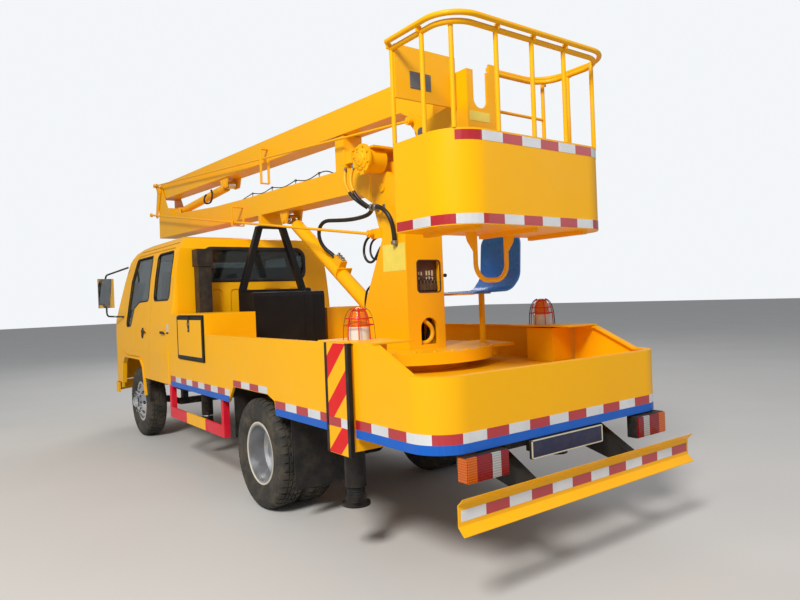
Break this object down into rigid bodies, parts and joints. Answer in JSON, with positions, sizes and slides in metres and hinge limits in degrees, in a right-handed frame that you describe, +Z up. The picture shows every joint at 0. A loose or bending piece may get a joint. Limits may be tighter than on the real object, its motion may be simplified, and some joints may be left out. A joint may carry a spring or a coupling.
{
  "type": "cherry picker truck",
  "caption": "Twin-cab truck with a slewing turret and a folded two-arm boom that carries a work platform behind the turret, with outriggers and side lockers.",
  "frame": {"origin": "centre of the bounding box at ground level", "axes": "+X to the truck's front, +Y to its left, +Z up"},
  "size_m": [7.09, 2.15, 3.121],
  "materials": {
    "yellow_paint": "satin",
    "red_paint": "satin",
    "black_paint": "satin",
    "grey_plastic": "matte",
    "steel": "satin",
    "tyre": "matte",
    "chrome": "gloss",
    "cast": "matte",
    "glass": "gloss",
    "black_plastic": "matte",
    "amber": "gloss",
    "blue_plastic": "satin"
  },
  "bodies": {
    "chassis": {"chassis_frame": "cast", "rear_axle": "cast", "front_axle": "cast", "engine_block": "cast", "exhaust": "cast", "headlamps": "glass", "cab_shell": "yellow_paint", "cab_glass": "glass", "cab_interior": "grey_plastic", "front_bumper": "yellow_paint", "mirrors": "black_plastic", "deck_body": "yellow_paint", "side_guards": "red_paint", "mudguards": "black_plastic", "fuel_tank": "black_paint", "rear_bumper": "yellow_paint", "rear_lamps": "black_plastic", "outrigger_housing": "cast", "oil_tank": "black_paint", "air_intake": "black_plastic", "boom_rest": "black_paint", "beacons": "amber"},
    "turret": {"turret_column": "yellow_paint", "turntable": "yellow_paint", "operator_seat": "blue_plastic"},
    "lower_arm": {"lower_arm": "yellow_paint"},
    "lift_barrel": {"lift_barrel": "yellow_paint"},
    "lift_rod": {"lift_rod": "chrome"},
    "upper_arm": {"upper_arm": "yellow_paint"},
    "fold_barrel": {"fold_barrel": "yellow_paint"},
    "fold_rod": {"fold_rod": "chrome"},
    "bell_crank": {"bell_crank": "yellow_paint"},
    "crank_pin": {"crank_pin": "steel"},
    "lower_tie_rod": {"lower_tie_rod": "yellow_paint"},
    "upper_tie_rod": {"upper_tie_rod": "yellow_paint"},
    "platform_hub": {"platform_hub": "steel"},
    "platform": {"platform_tub": "yellow_paint", "platform_rails": "yellow_paint"},
    "locker_door": {"locker_door": "black_paint"},
    "knuckle_left": {"knuckle_left": "cast"},
    "front_wheel_left": {"front_rim_left": "steel", "front_tyre_left": "tyre"},
    "rear_wheel_left": {"rear_rims_left": "steel", "rear_tyres_left": "tyre"},
    "outrigger_left": {"outrigger_left": "yellow_paint"},
    "rear_jack_left": {"rear_jack_left": "chrome"},
    "front_jack_left": {"front_jack_left": "chrome"},
    "door_front_left": {"door_front_left": "yellow_paint"},
    "door_rear_left": {"door_rear_left": "yellow_paint"},
    "knuckle_right": {"knuckle_right": "cast"},
    "front_wheel_right": {"front_rim_right": "steel", "front_tyre_right": "tyre"},
    "rear_wheel_right": {"rear_rims_right": "steel", "rear_tyres_right": "tyre"},
    "outrigger_right": {"outrigger_right": "yellow_paint"},
    "rear_jack_right": {"rear_jack_right": "chrome"},
    "front_jack_right": {"front_jack_right": "chrome"},
    "door_front_right": {"door_front_right": "yellow_paint"},
    "door_rear_right": {"door_rear_right": "yellow_paint"}
  },
  "joints": [
    {"name": "steer_left", "type": "hinge", "parent": "chassis", "child": "knuckle_left", "pos_m": [1.955, 0.62, 0.383], "axis": [0, 0, 1], "range_deg": [-32, 32]},
    {"name": "front_wheel_left_spin", "type": "hinge", "parent": "knuckle_left", "child": "front_wheel_left", "pos_m": [1.955, 0.745, 0.383], "axis": [0, 1, 0], "continuous": true},
    {"name": "rear_wheel_left_spin", "type": "hinge", "parent": "chassis", "child": "rear_wheel_left", "pos_m": [-1.405, 0.7125, 0.383], "axis": [0, 1, 0], "continuous": true},
    {"name": "door_front_left_swing", "type": "hinge", "parent": "chassis", "child": "door_front_left", "pos_m": [2.379, 0.9, 1], "axis": [0, 0, -1], "range_deg": [0, 65]},
    {"name": "door_rear_left_swing", "type": "hinge", "parent": "chassis", "child": "door_rear_left", "pos_m": [1.309, 0.9, 1], "axis": [0, 0, -1], "range_deg": [0, 65]},
    {"name": "outrigger_left_slide", "type": "slide", "parent": "chassis", "child": "outrigger_left", "axis": [0, 1, 0], "range_m": [0, 0.5]},
    {"name": "rear_jack_left_lower", "type": "slide", "parent": "outrigger_left", "child": "rear_jack_left", "axis": [0, 0, -1], "range_m": [0, 0.28]},
    {"name": "front_jack_left_lower", "type": "slide", "parent": "chassis", "child": "front_jack_left", "axis": [0, 0, -1], "range_m": [0, 0.28]},
    {"name": "steer_right", "type": "hinge", "parent": "chassis", "child": "knuckle_right", "pos_m": [1.955, -0.62, 0.383], "axis": [0, 0, 1], "range_deg": [-32, 32]},
    {"name": "front_wheel_right_spin", "type": "hinge", "parent": "knuckle_right", "child": "front_wheel_right", "pos_m": [1.955, -0.745, 0.383], "axis": [0, 1, 0], "continuous": true},
    {"name": "rear_wheel_right_spin", "type": "hinge", "parent": "chassis", "child": "rear_wheel_right", "pos_m": [-1.405, -0.7125, 0.383], "axis": [0, 1, 0], "continuous": true},
    {"name": "door_front_right_swing", "type": "hinge", "parent": "chassis", "child": "door_front_right", "pos_m": [2.379, -0.9, 1], "axis": [0, 0, 1], "range_deg": [0, 65]},
    {"name": "door_rear_right_swing", "type": "hinge", "parent": "chassis", "child": "door_rear_right", "pos_m": [1.309, -0.9, 1], "axis": [0, 0, 1], "range_deg": [0, 65]},
    {"name": "outrigger_right_slide", "type": "slide", "parent": "chassis", "child": "outrigger_right", "axis": [0, -1, 0], "range_m": [0, 0.5]},
    {"name": "rear_jack_right_lower", "type": "slide", "parent": "outrigger_right", "child": "rear_jack_right", "axis": [0, 0, -1], "range_m": [0, 0.28]},
    {"name": "front_jack_right_lower", "type": "slide", "parent": "chassis", "child": "front_jack_right", "axis": [0, 0, -1], "range_m": [0, 0.28]},
    {"name": "locker_door_swing", "type": "hinge", "parent": "chassis", "child": "locker_door", "pos_m": [-0.095, 0.929, 0.969], "axis": [-1, 0, 0], "range_deg": [0, 90]},
    {"name": "turret_slew", "type": "hinge", "parent": "chassis", "child": "turret", "pos_m": [-1.955, 0, 1.08], "axis": [0, 0, 1], "continuous": true},
    {"name": "lower_arm_lift", "type": "hinge", "parent": "turret", "child": "lower_arm", "pos_m": [-1.955, 0, 2.2], "axis": [0, -1, 0], "range_deg": [0, 65]},
    {"name": "lift_barrel_pivot", "type": "hinge", "parent": "turret", "child": "lift_barrel", "pos_m": [-1.705, 0, 1.24], "axis": [0, -1, 0], "range_deg": [0, 47.94]},
    {"name": "lift_rod_slide", "type": "slide", "parent": "lift_barrel", "child": "lift_rod", "axis": [0.8365, 0, 0.548], "range_m": [0, 0.8283]},
    {"name": "upper_arm_fold", "type": "hinge", "parent": "lower_arm", "child": "upper_arm", "pos_m": [3.385, 0, 3], "axis": [0, 1, 0], "range_deg": [0, 120]},
    {"name": "fold_barrel_pivot", "type": "hinge", "parent": "lower_arm", "child": "fold_barrel", "pos_m": [2.745, 0, 2.665], "axis": [0, 1, 0], "range_deg": [0, 121.93]},
    {"name": "fold_rod_slide", "type": "slide", "parent": "fold_barrel", "child": "fold_rod", "axis": [-0.999, 0, 0.044], "range_m": [0, 1.2712]},
    {"name": "bell_crank_pivot", "type": "hinge", "parent": "lower_arm", "child": "bell_crank", "pos_m": [3.385, 0.125, 3], "axis": [0, 1, 0], "range_deg": [0, 65]},
    {"name": "crank_pin_turn", "type": "hinge", "parent": "bell_crank", "child": "crank_pin", "pos_m": [3.468, 0.137, 3.087], "axis": [0, -1, 0], "range_deg": [0, 65]},
    {"name": "upper_tie_rod_pivot", "type": "hinge", "parent": "crank_pin", "child": "upper_tie_rod", "pos_m": [3.468, 0.153, 3.087], "axis": [0, 1, 0], "range_deg": [0, 120]},
    {"name": "lower_tie_rod_pivot", "type": "hinge", "parent": "turret", "child": "lower_tie_rod", "pos_m": [-1.835, 0.203, 1.89], "axis": [0, -1, 0], "range_deg": [0, 65]},
    {"name": "platform_hub_turn", "type": "hinge", "parent": "upper_arm", "child": "platform_hub", "pos_m": [-2.355, 0, 2.5], "axis": [0, 1, 0], "range_deg": [0, 65]},
    {"name": "platform_level", "type": "hinge", "parent": "platform_hub", "child": "platform", "pos_m": [-2.355, 0, 2.5], "axis": [0, -1, 0], "range_deg": [0, 120]}
  ],
  "couplings": [
    {"joint": "steer_right", "follows": "steer_left", "ratio": 1},
    {"joint": "lift_barrel_pivot", "follows": "lower_arm_lift", "ratio": 0.70677},
    {"joint": "lift_rod_slide", "follows": "lower_arm_lift", "m_per_rad": 0.71246},
    {"joint": "fold_barrel_pivot", "follows": "upper_arm_fold", "ratio": 0.99945},
    {"joint": "fold_rod_slide", "follows": "upper_arm_fold", "m_per_rad": 0.5974},
    {"joint": "bell_crank_pivot", "follows": "lower_arm_lift", "ratio": 1},
    {"joint": "crank_pin_turn", "follows": "lower_arm_lift", "ratio": 1},
    {"joint": "upper_tie_rod_pivot", "follows": "upper_arm_fold", "ratio": 1},
    {"joint": "lower_tie_rod_pivot", "follows": "lower_arm_lift", "ratio": 1},
    {"joint": "platform_hub_turn", "follows": "lower_arm_lift", "ratio": 1},
    {"joint": "platform_level", "follows": "upper_arm_fold", "ratio": 1}
  ]
}
